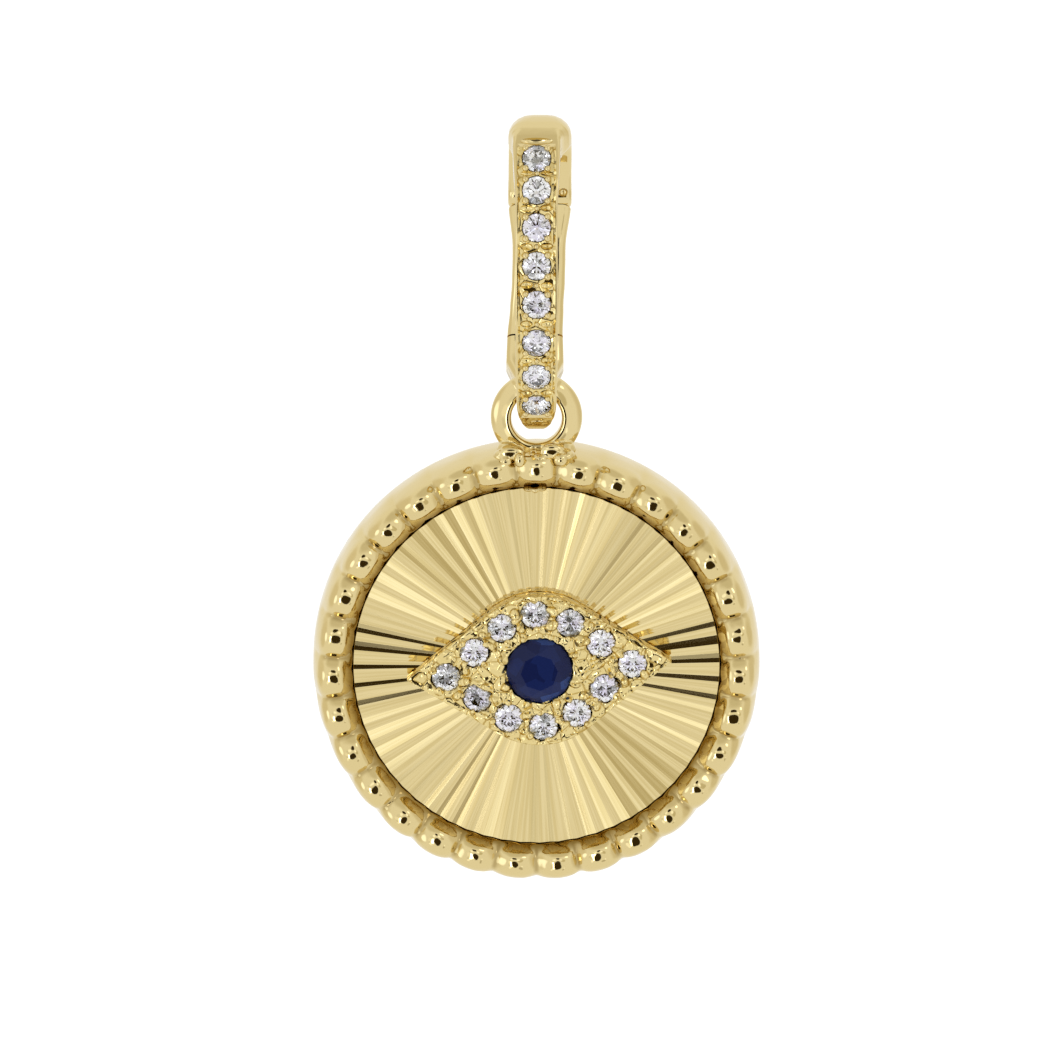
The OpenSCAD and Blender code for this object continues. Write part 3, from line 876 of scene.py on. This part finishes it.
# The light tent: plain soft white, with brighter and dimmer panels, and two dark ones straight in front
TENT_WHITE, DARK = (0.97, 0.97, 0.97), (0.04, 0.026, 0.008)
HOT, COOL = (4.6, 4.7, 5.0), (1.35, 1.4, 1.5)
PANELS = (                           # azimuth (minus is left), elevation, full within, gone beyond, colour
    (0, 72, 18, 45, (0.74, 0.71, 0.63)),
    (-95, 5, 20, 45, (0.84, 0.80, 0.71)),
    (95, 5, 20, 45, (0.80, 0.76, 0.67)),
    (-62, -4, 8, 18, (1.5, 1.6, 1.8)),
    (-21, 4, 4, 7, (0.87, 0.87, 0.87)),
    (-27, -6, 5, 9, (1.1, 1.1, 1.1)),
    (-28, -17, 3, 6, (0.85, 0.85, 0.83)),
    (-25.5, -26, 3.5, 7, (1.3, 1.34, 1.4)),
    (23.5, -30, 3, 5.5, (0.6, 0.57, 0.5)),
    (27, -23, 1.5, 3, COOL),
    (21, 5, 7, 10, (0.69, 0.65, 0.53)),
    (-13.5, 9, 4, 7, COOL),
    (13.5, 9, 4, 7, COOL),
    (38, 32, 5, 9, (2.2, 2.2, 2.3)),
    (-16.5, -19, 2.8, 4.4, HOT),
    (-16.5, -13, 2.8, 4.4, HOT),
    (-16.5, -7, 2.8, 4.4, HOT),
    (0, 19.5, 8.3, 9.0, DARK),
    (0, -13, 12, 14, DARK))


def light_tent():
    tent = bpy.data.worlds.new("light_tent")
    b = Bench(tent)
    aim = b.node("TexCoord", None, out="Generated")
    colour = TENT_WHITE
    for azimuth, elevation, full, gone, panel in PANELS:
        az, el = math.radians(azimuth), math.radians(elevation)
        centre = (math.sin(az) * math.cos(el), -math.cos(az) * math.cos(el), math.sin(el))
        near = b.node("VectorMath", {"operation": "DOT_PRODUCT"}, aim, centre, out="Value")
        share = b.ramp(near, math.cos(math.radians(gone)), math.cos(math.radians(full)))
        colour = b.blend(share, colour, panel)
    b.feed(b.tree.nodes["Background"].inputs[0], colour)
    bpy.context.scene.world = tent


def floor_paint():
    f = Finish("floor_paint", Roughness=0.9, Emission_Strength=0.35, Emission_Color=(1.0, 1.0, 1.0))
    f.set(Base_Color=f.blend(f.noise(0.4), (0.93, 0.93, 0.93), (0.95, 0.95, 0.95)))
    return f.material


light_tent()
FLOOR_SIZE, FLOOR_Z = 4, -0.08       # in metres
bpy.ops.mesh.primitive_plane_add(size=FLOOR_SIZE, location=(0, 0, FLOOR_Z))
floor = new_piece("floor")
floor.data.materials.append(floor_paint())
floor.visible_glossy = floor.visible_transmission = False
bpy.context.scene.view_settings.view_transform = "Standard"

gold, bead_gold_painted_shade, cut_gold, set_gold = polished_gold(), beaded_gold_painted_shade(), bright_cut_gold(), hand_cut_gold()
clear, blue = diamond(), blue_sapphire()
for name, node in nodes.items():
    node.data.materials.clear()
    node.data.materials.append(clear if "diamond" in name else blue if name == "sapphire" else gold)

band.data.materials.append(gold)
band.data.materials.append(set_gold)
pick(band, in_channel, "FACE")
band.active_material_index = 1
bpy.ops.object.material_slot_assign()
done()
DRESS = (                            # piece, body that it rides on, node that it stands for, finish
    (band, "bail", "bail_front", gold),
    (gate, "gate", "bail_gate", gold),
    (pin, "bail", "hinge_pin", gold),
    (case, "pendant", "rim", bead_gold_painted_shade),
    (disc, "pendant", "fluted_disc", cut_gold),
    (eye, "pendant", "eye_plate", set_gold))
for piece, body, cad, finish in DRESS:
    take(piece)
    piece.scale = (MM, MM, MM)
    bpy.ops.object.transform_apply(scale=True)
    if piece != band:
        piece.data.materials.clear()
        piece.data.materials.append(finish)
    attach(piece, body)
    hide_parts(cad)
